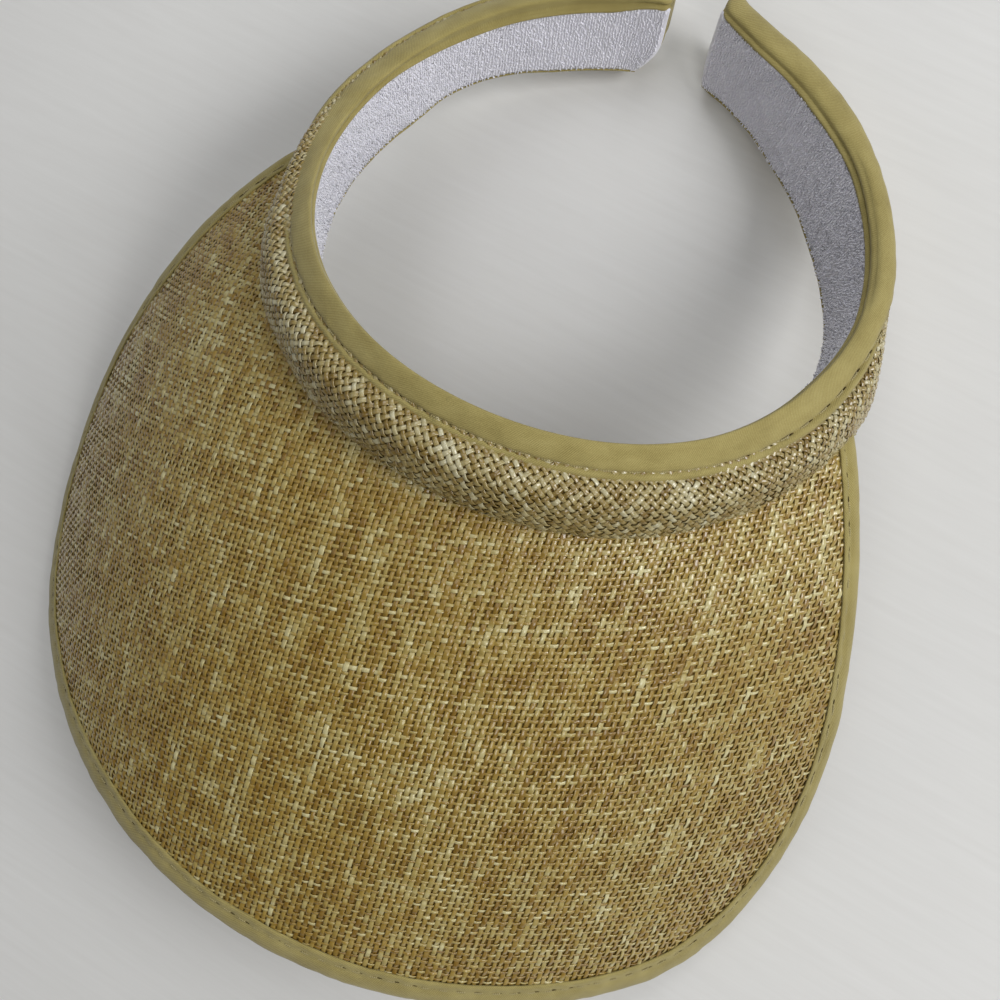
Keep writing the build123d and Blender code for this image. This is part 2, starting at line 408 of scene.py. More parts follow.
class Shader:
    """A material's node tree with short calls."""

    def __init__(self, name, **sockets):
        self.material = bpy.data.materials.new(name)
        self.material.use_nodes = True
        self.tree = self.material.node_tree
        self.bsdf = self.tree.nodes["Principled BSDF"]
        for key, value in sockets.items():
            self.bsdf.inputs[key.replace("_", " ")].default_value = value

    def node(self, kind, inputs=None, **settings):
        made = self.tree.nodes.new("ShaderNode" + kind)
        for key, value in settings.items():
            setattr(made, key, value)
        for key, value in (inputs or {}).items():
            if isinstance(value, bpy.types.NodeSocket):
                self.tree.links.new(value, made.inputs[key])
            else:
                made.inputs[key].default_value = value
        return made

    def tone(self):
        return self.node("Attribute", attribute_name="tone").outputs["Fac"]

    def cloth(self):
        return self.node("Attribute", attribute_name="cloth").outputs["Vector"]

    def cloth_axes(self):
        cloth = self.cloth()
        return cloth, *self.node("SeparateXYZ", {0: cloth}).outputs[:2]

    def wave(self, along, wavelength):
        return self.math("SINE", self.math("MULTIPLY", along, 2 * np.pi / wavelength))

    def math(self, operation, a, b=0.0, c=0.0):
        return self.node("Math", {0: a, 1: b, 2: c}, operation=operation).outputs[0]

    def noise(self, scale, vector, detail=3.0, rough=0.6):
        return self.node("TexNoise", {"Vector": vector, "Scale": scale, "Detail": detail,
                                      "Roughness": rough}).outputs["Fac"]

    def ramp(self, fac, *stops):
        made = self.node("ValToRGB", {"Fac": fac})
        ramp = made.color_ramp
        while len(ramp.elements) < len(stops):
            ramp.elements.new(0.5)
        for element, (at, colour) in zip(ramp.elements, stops):
            element.position = at
            element.color = (*colour, 1)
        return made.outputs["Color"]

    def place(self):
        return self.node("TexCoord").outputs["Object"]

    def scaled(self, vector, scale, rotation=(0, 0, 0)):
        return self.node("Mapping", {"Vector": vector, "Scale": scale, "Rotation": rotation}).outputs[0]

    def colour(self, socket):
        self.tree.links.new(socket, self.bsdf.inputs["Base Color"])

    def rough(self, socket):
        self.tree.links.new(socket, self.bsdf.inputs["Roughness"])

    def bump(self, height, distance, strength=1.0):
        made = self.node("Bump", {"Height": height, "Distance": distance, "Strength": strength})
        self.tree.links.new(made.outputs[0], self.bsdf.inputs["Normal"])


def straw_material(name, stops, low, high):
    """Glossy paper straw: tone runs along each thread, with fine fibres along it."""
    s = Shader(name, Coat_Weight=0.9, Coat_Roughness=0.22, Specular_IOR_Level=0.6)
    tone, cloth = s.tone(), s.cloth()
    fibre = s.noise(1.0, s.scaled(cloth, (0.5, 6.0, 1.0)), 2.0)
    speck = s.noise(1.0, s.scaled(cloth, (1.3, 1.3, 1.0)), 2.0)
    mixed = s.math("ADD", tone, s.math("MULTIPLY", s.math("SUBTRACT", fibre, 0.5), 0.35))
    mixed = s.math("ADD", mixed, s.math("MULTIPLY", s.math("SUBTRACT", speck, 0.5), 0.25))
    s.colour(s.ramp(mixed, *stops))
    s.rough(s.node("MapRange", {"Value": speck, "From Min": 0.3, "From Max": 0.7, "To Min": low,
                                "To Max": high}).outputs[0])
    s.bump(fibre, 0.00006, 0.6)
    return s.material


STRAW = [(0.08, (0.235, 0.132, 0.014)), (0.40, (0.355, 0.235, 0.044)), (0.64, (0.430, 0.335, 0.105)),
         (0.95, (0.64, 0.58, 0.31))]
straw = straw_material("straw", STRAW, 0.26, 0.46)
BAND_STRAW = [(0.08, (0.190, 0.118, 0.020)), (0.40, (0.290, 0.208, 0.060)), (0.64, (0.38, 0.31, 0.13)),
              (0.95, (0.54, 0.50, 0.32))]
band_straw = straw_material("band_straw", BAND_STRAW, 0.22, 0.42)


def backing_material():
    """The ground seen between the straw threads, dark brown as painted shade of the gaps between them."""
    s = Shader("painted_shade_backing", Roughness=0.85, Specular_IOR_Level=0.3)
    grain = s.noise(900.0, s.place())
    s.colour(s.ramp(grain, (0.3, (0.130, 0.076, 0.013)), (0.7, (0.215, 0.132, 0.028))))
    s.bump(grain, 0.0001, 0.5)
    return s.material


def tape_material():
    """Khaki bias tape: a fine twill at 45 degrees, with faint wear and shade changes."""
    s = Shader("tape", Sheen_Weight=0.25, Sheen_Roughness=0.5, Specular_IOR_Level=0.25)
    cloth, x, y = s.cloth_axes()
    rib = s.wave(s.math("ADD", x, y), 0.62)
    cord = s.wave(s.math("SUBTRACT", x, y), 0.42)
    weave = s.math("ADD", s.math("MULTIPLY", rib, 0.35), s.math("MULTIPLY", cord, 0.2))
    cloud = s.noise(1.0, s.scaled(cloth, (0.09, 0.22, 1.0)), 3.0)
    fuzz = s.noise(1.0, s.scaled(cloth, (2.6, 2.6, 1.0)), 2.0)
    tone = s.math("ADD", s.math("MULTIPLY", weave, 0.32),
                  s.math("ADD", s.math("MULTIPLY", cloud, 0.55), s.math("MULTIPLY", fuzz, 0.45)))
    s.colour(s.ramp(tone, (0.22, (0.215, 0.170, 0.050)), (0.5, (0.335, 0.275, 0.092)),
                    (0.8, (0.44, 0.375, 0.150))))
    s.rough(s.node("MapRange", {"Value": fuzz, "To Min": 0.7, "To Max": 0.95}).outputs[0])
    s.bump(weave, 0.00009, 0.7)
    return s.material


def thread_material():
    """Sewing thread: its plies wind round it."""
    s = Shader("thread", Roughness=0.6, Sheen_Weight=0.2)
    _, x, y = s.cloth_axes()
    plies = s.math("SINE", s.math("MULTIPLY", s.math("ADD", x, y), 11.0))
    s.colour(s.ramp(s.math("MULTIPLY_ADD", plies, 0.5, 0.5), (0.0, (0.25, 0.20, 0.070)),
                    (1.0, (0.44, 0.38, 0.18))))
    s.bump(plies, 0.00008, 0.8)
    return s.material


def hole_shade_material():
    s = Shader("needle_hole_shade", Roughness=0.95, Specular_IOR_Level=0.1)
    # near black: painted shade inside the needle holes
    s.colour(s.ramp(s.noise(1500.0, s.place()), (0.3, (0.030, 0.020, 0.006)), (0.7, (0.075, 0.052, 0.018))))
    return s.material


def terry_material():
    """Looped cotton: white with a cool tint, greyer between the loops as painted shade."""
    s = Shader("terry", Roughness=0.95, Sheen_Weight=0.6, Sheen_Roughness=0.6, Specular_IOR_Level=0.15)
    fuzz = s.noise(2600.0, s.place(), 2.0)
    s.colour(s.ramp(s.math("ADD", s.tone(), s.math("MULTIPLY", s.math("SUBTRACT", fuzz, 0.5), 0.5)),
                    (0.0, (0.70, 0.69, 0.78)), (0.5, (0.84, 0.835, 0.91)), (1.0, (0.92, 0.915, 0.97))))
    s.bump(fuzz, 0.00012, 0.7)
    return s.material


def lining_material():
    """Plain cotton lining in a tan a little darker than the straw."""
    s = Shader("lining", Roughness=0.85, Sheen_Weight=0.2)
    cloth, x, y = s.cloth_axes()
    weave = s.math("MULTIPLY", s.wave(x, 0.7), s.wave(y, 0.7))
    cloud = s.noise(1.0, s.scaled(cloth, (0.05, 0.05, 1.0)), 4.0)
    tone = s.math("ADD", s.math("MULTIPLY", weave, 0.12), cloud)
    s.colour(s.ramp(tone, (0.3, (0.30, 0.235, 0.105)), (0.7, (0.44, 0.36, 0.18))))
    s.bump(weave, 0.0001, 0.6)
    return s.material


def plain_part_material(name, colour, scale, rough):
    """Moulded or foamed inner parts: an even colour with a fine grain."""
    s = Shader(name, Roughness=rough)
    grain = s.noise(scale, s.place(), 4.0)
    dark = tuple(c * 0.86 for c in colour)
    s.colour(s.ramp(grain, (0.35, dark), (0.65, colour)))
    s.bump(grain, 0.00005, 0.4)
    return s.material


painted_shade_backing, tape, thread, hole = backing_material(), tape_material(), thread_material(), hole_shade_material()
terry, lining = terry_material(), lining_material()
board = plain_part_material("board", (0.62, 0.59, 0.52), 700.0, 0.7)
spring = plain_part_material("spring", (0.72, 0.72, 0.70), 500.0, 0.4)

# ---------------------------------------------------------------- brim


def brim_sheet(name, material, top, bottom, inner=84.8, inset=0.4):
    """One flat layer of the brim: a thin closed sheet between two lifts."""
    angles = np.linspace(-103, 103, 261)
    x0, y0 = polar(inner, angles)
    y0 = np.minimum(y0, SIDE_END_Y - 3)
    a = np.degrees(np.arctan2(x0, -(y0 - EDGE_CENTRE)))
    # rays from the inner edge run to the matching place on the outline
    share = np.linspace(0, 1, len(angles))
    run = run_along(edge_x, edge_y)
    ox = np.interp(share * run[-1], run, edge_x)
    oy = np.interp(share * run[-1], run, edge_y)
    length = np.hypot(ox, oy - EDGE_CENTRE)
    ox, oy = ox * (1 - inset / length), EDGE_CENTRE + (oy - EDGE_CENTRE) * (1 - inset / length)
    t = np.linspace(0, 1, 61)[None, :]
    x = x0[:, None] * (1 - t) + ox[:, None] * t
    y = y0[:, None] * (1 - t) + oy[:, None] * t
    high, _ = brim_points(x, y, top)
    low, _ = brim_points(x, y, bottom)
    points = np.concatenate([high, low[:, ::-1]], axis=1)
    rows, columns = points.shape[:2]
    cloth = cloth_place(np.concatenate([x, x[:, ::-1]], 1), np.concatenate([y, y[:, ::-1]], 1))
    build = Build()
    build.add(points, grid_faces(rows, columns, ring=True, first=True, last=True)[:, ::-1],
              cloth=cloth.reshape(-1, 3))
    return build.piece(name, material)


def weave_tone(number, along, x, y, painted_light_lean):
    """Tone of a thread: its own, changes along it, the cloth's wider mottling, and painted light that sets
    wefts lighter than warps.
    """
    own = 0.16 * spare(number * 0.731, 7.3) + 0.12 * spare(number * 3.77, 91.0)
    bits = 0.34 * fast(along / 2.6, number * 1.37) + 0.16 * fast(along / 7.0 + 50, number * 2.11)
    wide = 0.06 * slow(x / 16 + 30, y / 16) + 0.07 * middling(x / 5, y / 5 + 60)
    return 0.46 + painted_light_lean + own + bits + wide


def thread_drift(t, seed, wide, narrow):
    """How far a thread strays sideways from its line."""
    return (wide * slow(t / 21, seed * 0.37) + narrow * middling(t / 8, seed * 1.3)
            + 0.08 * fast(seed * 0.77, 3.0))


def brim_threads(name, warps, quarter):
    """Every fourth thread of the brim's plain weave, one way."""
    build = Build()
    start = atan2(-110 - WARP_CENTRE[1], -WARP_CENTRE[0])
    pitch, cover = (WARP_PITCH, 0.86) if warps else (WEFT_PITCH, 0.72)
    for i in range(-100, 101) if warps else range(40, 240):
        if i % 4 != quarter:
            continue
        seed = i + (500 if warps else 0)
        if warps:
            t = np.arange(-190, 130, THREAD_STEP)
            drift = thread_drift(t, seed, 0.14, 0.12)
            radius = WARP_REACH + t
            turn = start + (i * WARP_PITCH + drift) / WARP_REACH
            x, y = WARP_CENTRE[0] + radius * np.cos(turn), WARP_CENTRE[1] + radius * np.sin(turn)
            crossing = np.hypot(x - WEFT_CENTRE[0], y - WEFT_CENTRE[1]) / WEFT_PITCH
        else:
            radius = i * WEFT_PITCH
            t = np.arange(-0.72 * np.pi, 0.42 * np.pi, THREAD_STEP / radius) * radius
            drift = thread_drift(t, seed, 0.12, 0.10)
            turn = -np.pi / 2 + t / radius
            radius = radius + drift
            x, y = WEFT_CENTRE[0] + radius * np.cos(turn), WEFT_CENTRE[1] + radius * np.sin(turn)
            bearing = np.arctan2(y - WARP_CENTRE[1], x - WARP_CENTRE[0])
            crossing = (bearing - start) * WARP_REACH / WARP_PITCH + 1
        phase = np.pi * (crossing + i)
        slub = 1 + 0.16 * middling(t / 5, seed * 0.9) + 0.12 * fast(t / 2.2, seed * 0.7)
        slub = slub * (1.25 if spare(seed * 1.9, 55.0) > 0.5 else 1.0)
        width = np.clip(pitch * cover * slub, 0.5, pitch)
        lift = -0.22 + 0.18 * np.cos(phase) + 0.06 * fast(t / 1.6, seed * 1.1)
        roll = 0.30 * fast(t / 2.3 + 31, seed * 0.63)
        # wefts are set lighter than warps as painted light, since they catch the lamp more
        tone = weave_tone(seed, t, x, y, -0.03 if warps else 0.06)
        for a, b in runs(on_brim(x, y, 85.0, 3.2)):
            centres, normals = brim_points(x[a:b], y[a:b], lift[a:b])
            tube(build, centres, normals, width[a:b], 0.30, roll[a:b], True, tone=tone[a:b],
                 cloth=cloth_place(t[a:b], seed))
    return build.piece(name, straw)


def edge_section(width, top, bottom):
    """Section of the folded edge tape: inset from the outline and lift, as a closed loop."""
    half = (top + bottom) / 2
    outer = [(width, top + 0.10), (width - 0.25, top + 0.50), (width - 1.0, top + 0.62),
             (width - 1.75, top + 0.30), (width - 2.5, top + 0.60), (width * 0.45, top + 0.80),
             (0.9, top + 0.62), (0.1, top + 0.25), (-0.45, half + 0.7), (-0.62, half),
             (-0.45, half - 0.7), (0.1, bottom - 0.25), (0.9, bottom - 0.55), (width * 0.5, bottom - 0.72),
             (width - 1.2, bottom - 0.6), (width - 0.2, bottom - 0.45)]
    inner = [(width - 0.1, bottom - 0.02), (width * 0.5, bottom - 0.1), (0.6, bottom + 0.1),
             (0.1, half), (0.6, top - 0.05), (width * 0.5, top + 0.04)]
    return np.array(outer), np.array(inner)


def brim_edge_tape():
    x, y = outline(0.0, 0.7)
    ahead = unit(np.stack([np.gradient(x), np.gradient(y)], -1))
    inward = np.stack([-ahead[:, 1], ahead[:, 0]], -1)
    run = run_along(x, y)
    outer, inner = edge_section(5.6, 0.0, -2.4)
    section = np.vstack([outer, inner])
    n, k = len(x), len(section)
    pucker = 0.16 * np.cos(2 * np.pi * run / 6.0)[:, None] * np.exp(-((section[:, 0] - 3.8) / 1.0) ** 2)
    ripple = (0.20 * middling(run[:, None] / 7 + section[:, 0] / 5, section[:, 0] / 7 + 20)
              + 0.12 * fast(run[:, None] / 2.6 - section[:, 0] / 2.2, section[:, 0] / 5))
    free = np.zeros(k)
    free[:len(outer)] = 1.0
    sway = 0.25 * middling(run / 16, 33.0)[:, None] * np.clip(section[:, 0] / 5, 0, 1)
    inset = section[None, :, 0] + sway
    lift = section[None, :, 1] + (pucker + ripple * 0.8) * free * np.sign(section[:, 1] + 1.2)
    px = x[:, None] + inward[:, 0:1] * inset
    py = y[:, None] + inward[:, 1:2] * inset
    points, _ = brim_points(px, py, lift)
    build = Build()
    build.add(points, grid_faces(n, k, ring=True, first=True, last=True), caps=end_caps(k),
              cloth=cloth_place(run[:, None], run_along(*section.T)).reshape(-1, 3))
    return build.piece("brim_edge_tape", tape)


def stitch(build, holes, start, end, normal, width=STITCH_WIDTH, sink=0.3):
    """One stitch: a thread that dives into the cloth at both ends, and the painted shade of its needle
    hole, a near-black streak.
    """
    count = 9
    t = np.linspace(0, 1, count)
    centres = start + (end - start) * t[:, None]
    length = np.linalg.norm(end - start)
    rise = np.clip(np.sin(np.pi * t) * 1.6, 0, 1) * (width * 0.5 + sink) - sink
    centres = centres + normal * rise[:, None]
    tube(build, centres, np.repeat(normal[None], count, 0), width, width,
         cloth=cloth_place(t * length, 0.0))
    along = (end - start) / length
    width = np.array([0.05, 0.36, 0.40, 0.36, 0.26, 0.05])
    line = end + normal * 0.06 + along * np.linspace(-0.3, 1.25, len(width))[:, None]
    tube(holes, line, np.repeat(normal[None], len(width), 0), width, 0.16)


def edge_stitches():
    build, holes = Build(), Build()
    x, y = outline(-3.85, 0.25)
    run = run_along(x, y)
    for k in range(2, int(run[-1] / EDGE_STITCH) - 2):
        a, b = (brim_points(np.interp(s, run, x), np.interp(s, run, y), 0.22)
                for s in (k * EDGE_STITCH, k * EDGE_STITCH + EDGE_STITCH_LENGTH))
        stitch(build, holes, a[0], b[0], a[1], 0.42)
    return build.piece("brim_edge_stitches", thread), holes.piece("brim_edge_needle_hole_shades", hole)


def seam_stitches():
    """The row that sews the brim to the band, under the brim."""
    build, holes = Build(), Build()
    for k in range(-23, 23):
        ends = [polar(88.6, angle) for angle in (k * SEAM_STITCH, k * SEAM_STITCH + SEAM_STITCH_LENGTH)]
        start, end = (brim_points(np.array(x), np.array(y), -2.45) for x, y in ends)
        stitch(build, holes, start[0], end[0], -start[1], 0.5, 0.35)
    return build.piece("brim_seam_stitches", thread), holes.piece("brim_seam_needle_hole_shades", hole)


# ---------------------------------------------------------------- band


def arm_end(side):
    return LEFT_END if side < 0 else RIGHT_END


def half_angles(side, step=0.6, trim=0.0):
    """Angles of one half of the band, from the front centre to its end."""
    end = arm_end(side) - trim
    return side * np.linspace(0.0, end, int(end / step))


def oriented(faces, side):
    return faces[:, ::-1] if side > 0 else faces


def band_pad(side, name):
    """The foam pad, wrapped in the dark ground that shows between the straw threads as painted shade of
    their gaps; it fills the straw cover and closes the arm's end.
    """
    angles = half_angles(side, 0.8, trim=0.5)
    along = np.linspace(0.6, COVER_LENGTH - 0.2, 40)
    arc = np.radians(angles) * COVER_RADIUS
    arcs, alongs = np.meshgrid(arc, along, indexing="ij")
    outside, normals = cover_points(arcs, alongs)
    outside = outside - normals * 0.42
    inner_depth = np.linspace(24.0, 2.6, 14)
    wall = band_points(angles[:, None], -7.45, inner_depth[None, :])
    roof = band_points(angles[:, None], np.array([-6.6, -5.2])[None, :], np.array([1.9, 2.6])[None, :])
    points = np.concatenate([outside, wall, roof], axis=1)
    rows, columns = points.shape[:2]
    build = Build()
    build.add(points, oriented(grid_faces(rows, columns, ring=True, first=True, last=True), side))
    return build.piece(name, painted_shade_backing)


def band_threads(side, way, name):
    """One diagonal set of the bias-cut straw cover on one half of the band."""
    low = -np.radians(LEFT_END - END_GAP) * COVER_RADIUS
    high = np.radians(RIGHT_END - END_GAP) * COVER_RADIUS
    end = high if side > 0 else -low
    root = sqrt(2)
    build = Build()
    count = int((end + COVER_LENGTH) / root / BIAS_PITCH) + 4
    for i in range(-count, count + 1):
        # the thread's place on the top edge says which half it belongs to
        at_top = i * BIAS_PITCH * root
        if (at_top < 0) != (side < 0):
            continue
        v = np.arange(0.0, COVER_LENGTH - 0.25, BIAS_PITCH / 4 / root)
        s = at_top - way * v
        seed = i * 2.0 + (301 if way > 0 else 0)
        s = s + 0.12 * slow(v / 9, seed * 0.37) + 0.10 * fast(v / 3.5, seed * 0.9)
        # crossings with the other set come once per pitch along the thread
        position = (at_top - 2 * way * v) / root
        phase = np.pi * (position / BIAS_PITCH + i + (0 if way > 0 else 1))
        slub = 1 + 0.14 * middling(v / 3, seed * 0.9) + 0.10 * fast(v / 1.7, seed * 0.7)
        width = np.clip(BIAS_PITCH * 0.74 * slub, 0.6, BIAS_PITCH * 0.98)
        lift = 0.02 + 0.25 * np.cos(phase) + 0.05 * fast(v / 1.4, seed * 1.2)
        tone = (0.50 + 0.16 * spare(seed * 0.71, 17.0) + 0.40 * fast(v / 1.9 + 9, seed * 1.37)
                + 0.08 * slow(s / 13, v / 9) + 0.10 * middling(s / 5, v / 5))
        for a, b in runs((s > low) & (s < high), 5):
            centres, normals = cover_points(s[a:b], v[a:b])
            centres = centres + normals * lift[a:b, None]
            roll = 0.34 * fast(v[a:b] / 1.8 + 31, seed * 0.63)
            tube(build, centres, normals, width[a:b], 0.32, roll, True, tone=tone[a:b],
                 cloth=cloth_place(v[a:b] * root, seed))
    return build.piece(name, band_straw)


def terry_top(angle):
    """Depth where the towelling meets the tape's inner edge."""
    return 2.0 + 2.6 * ease(-angle, 98, 128) * (1 - ease(-angle, 156, 168))


TAPE_OVER = np.array([
    (-7.5, 0.05), (-7.0, -0.35), (-6.2, -0.6), (-4.8, -0.8), (-3.2, -0.85), (-1.7, -0.75), (-0.4, -0.35),
    (0.35, 0.3), (0.75, 1.0), (0.50, 1.6), (0.80, 2.1), (1.0, 2.5), (1.1, 3.1), (1.0, 3.7), (0.8, 4.2)])
LIP, CROWN, GROOVE = 7, 12, 16     # where the section's upper side starts, its crown and its stitch line


def tape_section(angle):
    """The top tape's section as out and depth, from the inside lip over the rim to the stitched edge."""
    w, arm, turned = front_share(angle), ease(abs(angle), 58, 95), ease(angle, 84, 104)
    edge_out = -0.35 - 1.25 * w + 1.3 * arm + 0.1 * turned - 2.0 * twist(angle)
    edge_depth = 5.45 - 3.1 * arm + 1.6 * turned
    rim_out, rim_depth = -8.0 + 0.5 * turned * (1 - twist(angle)), 0.0
    t = np.array([0, .05, .12, .22, .34, .46, .58, .66, .72, .755, .79, .83, .88, .94, 1.0])
    du, dd = edge_out - rim_out, edge_depth - rim_depth
    length = sqrt(du**2 + dd**2)
    normal = np.array([dd, -du]) / length
    rise = (0.15 + 0.85 * np.sin(np.pi * np.clip(t, 0, 1) ** 0.8) ** 0.9 * 0.75
            - 0.72 * np.exp(-((t - 0.765) / 0.028) ** 2) + 0.28 * np.exp(-((t - 0.90) / 0.07) ** 2))
    top = np.stack([rim_out + du * t + normal[0] * rise, rim_depth + dd * t + normal[1] * rise], -1)
    # on the right arm the tape turns down over the outer corner
    top = top * (1 - turned) + (TAPE_OVER + [[-2.0 * twist(angle), 0.0]]) * turned
    top[:3, 0] += 1.3 * twist(angle) * turned
    low = terry_top(angle)
    lip = np.array([[-8.40, low + 0.35], [-8.75, low + 0.25], [-8.85, low - 0.1], [-8.70, low - 0.4],
                    [-8.0, low - 0.75], [-7.65, low * 0.5], [rim_out - 0.25, 0.55]])
    under = np.array([[edge_out - 0.15, edge_depth + 0.45], [edge_out - 0.9, edge_depth + 0.35],
                      [edge_out - 2.6, edge_depth * 0.75 + 0.6], [-5.0, edge_depth * 0.3 + 1.1],
                      [-6.6, 1.6], [-7.4, 2.4], [-8.0, 3.9]])
    return np.vstack([lip, top, under])


def top_tape(side, name):
    # a short tail at the front is tucked inside the other half
    angles = np.append(-side * 2.0, half_angles(side, 0.5, trim=0.25))
    sections = np.array([tape_section(a) for a in angles])
    n, k = sections.shape[:2]
    run = np.radians(side * angles) * TAPE_RADIUS
    across = run_along(*sections[0].T)
    shown = np.zeros(k)
    shown[LIP:LIP + len(TAPE_OVER)] = 1
    shown[2:LIP] = 0.4
    groove = np.zeros(k)
    groove[GROOVE - 1:GROOVE + 3] = 1
    pull = -0.22 * (0.5 + 0.5 * np.cos(2 * np.pi * run / TAPE_STITCH))[:, None] * groove
    crumple = (0.16 * middling(side * run[:, None] / 9 + 70, across / 6)
               + 0.10 * fast(side * run[:, None] / 3.4 - across / 3, across / 5)) * shown
    near = np.clip(1 - (run[-1] - run) / 9, 0, 1)[:, None]
    crumple = crumple * (1 + 2.2 * near)
    lift = pull + crumple
    out = sections[..., 0] + lift * 0.55 + 0.18 * slow(side * run / 22, 9.0)[:, None] * shown
    depth = sections[..., 1] - lift * 0.83
    # both ends are tucked in
    for row, size in ((0, 0.92), (-3, 0.95), (-2, 0.86), (-1, 0.62)):
        for shape in (out, depth):
            shape[row] = shape[row].mean() + (shape[row] - shape[row].mean()) * size
    build = Build()
    faces = grid_faces(n, k, ring=True, first=True, last=True)
    build.add(band_points(angles[:, None], out, depth), oriented(faces, side), caps=end_caps(k),
              cloth=cloth_place(side * run[:, None], across).reshape(-1, 3))
    return build.piece(name, tape)


def tape_stitches(side, name):
    """Running stitch in the groove near the tape's outer edge."""
    build, holes = Build(), Build()
    end = arm_end(side) - 4
    pitch = np.degrees(TAPE_STITCH / TAPE_RADIUS)
    length = np.degrees(TAPE_STITCH_LENGTH / TAPE_RADIUS)
    k = 0.5 if side > 0 else 0.0
    while k * pitch + length < end:
        ends = []
        for a in (k * pitch, k * pitch + length):
            out, depth = tape_section(side * a)[GROOVE]
            ends.append(band_points(side * a, out + 0.05, depth - 0.05))
        inner = band_points(side * k * pitch, *tape_section(side * k * pitch)[CROWN])
        normal = unit(np.cross(ends[1] - ends[0], inner - ends[0]))
        stitch(build, holes, *ends, normal if normal[2] > 0 else -normal)
        k += 1
    return build.piece(name + "_stitches", thread), holes.piece(name + "_needle_hole_shades", hole)


def terry_base(side, name):
    """The towelling's ground, a thin cloth over the pad's inner face."""
    angles = half_angles(side, 0.7, trim=0.08)
    share = np.linspace(0, 1, 30)[None]
    top = terry_top(angles)[:, None] - 0.2
    depth = top + (TERRY_BOTTOM - top) * share
    run = np.radians(angles) * TERRY_RADIUS
    wave = 0.22 * slow(run[:, None] / 12, depth / 8 + 5)
    edge = (0.5 * np.clip((depth - 22.5) / 2.1, 0, 1) ** 2
            + 0.4 * np.clip((top + 0.8 - depth) / 0.8, 0, 1) ** 2)
    face = band_points(angles[:, None], -8.35 - wave + edge, depth)
    back = band_points(angles[:, None], -7.55 + 0 * wave, depth[:, ::-1])
    points = np.concatenate([face, back], 1)
    rows, columns = points.shape[:2]
    build = Build()
    faces = grid_faces(rows, columns, ring=True, first=True, last=True)
    # the ground between the loops gets a low tone: painted shade in the recesses between them
    build.add(points, oriented(faces, -side), caps=end_caps(columns), tone=np.full(rows * columns, 0.35))
    return build.piece(name, terry)


def terry_loops(side, name):
    """The towelling's loops: one small arch of yarn each, in leaning columns."""
    rng = np.random.default_rng(21 if side < 0 else 22)
    end = np.radians(arm_end(side) - END_GAP) * TERRY_RADIUS
    column, row = 0.84, 0.86
    s, d = np.meshgrid(np.arange(0.3, end, column), np.arange(2.4, TERRY_BOTTOM - 0.3, row), indexing="ij")
    d = d + (np.arange(s.shape[0]) % 2)[:, None] * row / 2
    s, d = s.ravel(), d.ravel()
    s = s + rng.uniform(-0.2, 0.2, s.shape)
    d = d + rng.uniform(-0.2, 0.2, s.shape)
    keep = (d < TERRY_BOTTOM - 0.3) & (s < end) & (d > terry_top(side * np.degrees(s / TERRY_RADIUS)) + 0.4)
    s, d = s[keep], d[keep]
    count = len(s)
    turn = rng.normal(1.4, 0.32, count)
    high = rng.uniform(0.20, 0.38, count) if side < 0 else rng.uniform(0.30, 0.62, count)
    wide = rng.uniform(0.30, 0.44, count)
    lean_s, lean_d = rng.normal(0, 0.24, count), rng.normal(0.0, 0.24, count)
    thick = rng.uniform(0.38, 0.50, count)
    a = np.linspace(-0.15, np.pi + 0.15, 5)[None]
    flat, up = np.cos(a) * wide[:, None], np.sin(a) * high[:, None]
    ds = flat * np.cos(turn)[:, None] + lean_s[:, None] * up
    dd = flat * np.sin(turn)[:, None] + lean_d[:, None] * up
    wave = 0.22 * slow(side * s / 12, d / 8 + 5)
    angle = side * np.degrees((s[:, None] + ds) / TERRY_RADIUS)
    out = -8.36 - wave[:, None] - up
    centres = band_points(angle, out, d[:, None] + dd)
    ahead = unit(np.gradient(centres, axis=1))
    flatway = np.stack([np.sin(turn + 1.57), np.cos(turn), np.full(count, 0.3)], -1)[:, None]
    one = unit(np.cross(ahead, flatway))
    two = np.cross(ahead, one)
    ring = np.arange(3) * 2 * np.pi / 3
    points = (centres[:, :, None] + (one[:, :, None] * np.cos(ring)[None, None, :, None]
                                     + two[:, :, None] * np.sin(ring)[None, None, :, None])
              * thick[:, None, None, None] / 2)
    base = grid_faces(5, 3, ring=True)
    faces = (base[None] + (np.arange(count) * 15)[:, None, None]).reshape(-1, 4)
    tone = np.repeat(0.62 + 0.16 * rng.uniform(-1, 1, count) + 0.10 * slow(s / 9, d / 9), 15)
    # each loop is darker at its feet and lighter on its crown: painted shade where it meets the ground and
    # a painted highlight on top
    lower = np.tile(np.repeat(np.sin(np.linspace(0, np.pi, 5)), 3), count) * 0.2 - 0.1
    build = Build()
    build.add(points, faces[:, ::-1], tone=tone + lower)
    return build.piece(name, terry)


def hem(side, name):
    """The folded hem of the lining tape, a thin tan line along the towelling's lower edge."""
    angles = half_angles(side, 0.6, trim=0.4)
    run = np.radians(np.abs(angles)) * TERRY_RADIUS
    depth = TERRY_BOTTOM + 0.18
    centres = band_points(angles, -8.15 + 0.08 * fast(run / 3, 5.0), depth + 0.08 * fast(run / 4, 8.0))
    inward = unit(band_points(angles, -20.0, depth) - centres)
    build = Build()
    tube(build, centres, inward, 0.55, 0.6, cloth=cloth_place(run, 0.0))
    return build.piece(name, tape)


def arm_strip(side, name):
    """An arm's spring strip, bent like the arm's cloth."""
    angles = side * np.linspace(HINGE_ANGLE + 0.6, arm_end(side) - 1.6, 60)
    out, depth = np.array([-3.6, -3.6, -4.6, -4.6]), np.array([4.8, 19.6, 19.6, 4.8])
    points = band_points(angles[:, None], out[None], depth[None])
    build = Build()
    faces = grid_faces(*points.shape[:2], ring=True, first=True, last=True)
    build.add(points, oriented(faces, side))
    return build.piece(name, spring, smooth=False)


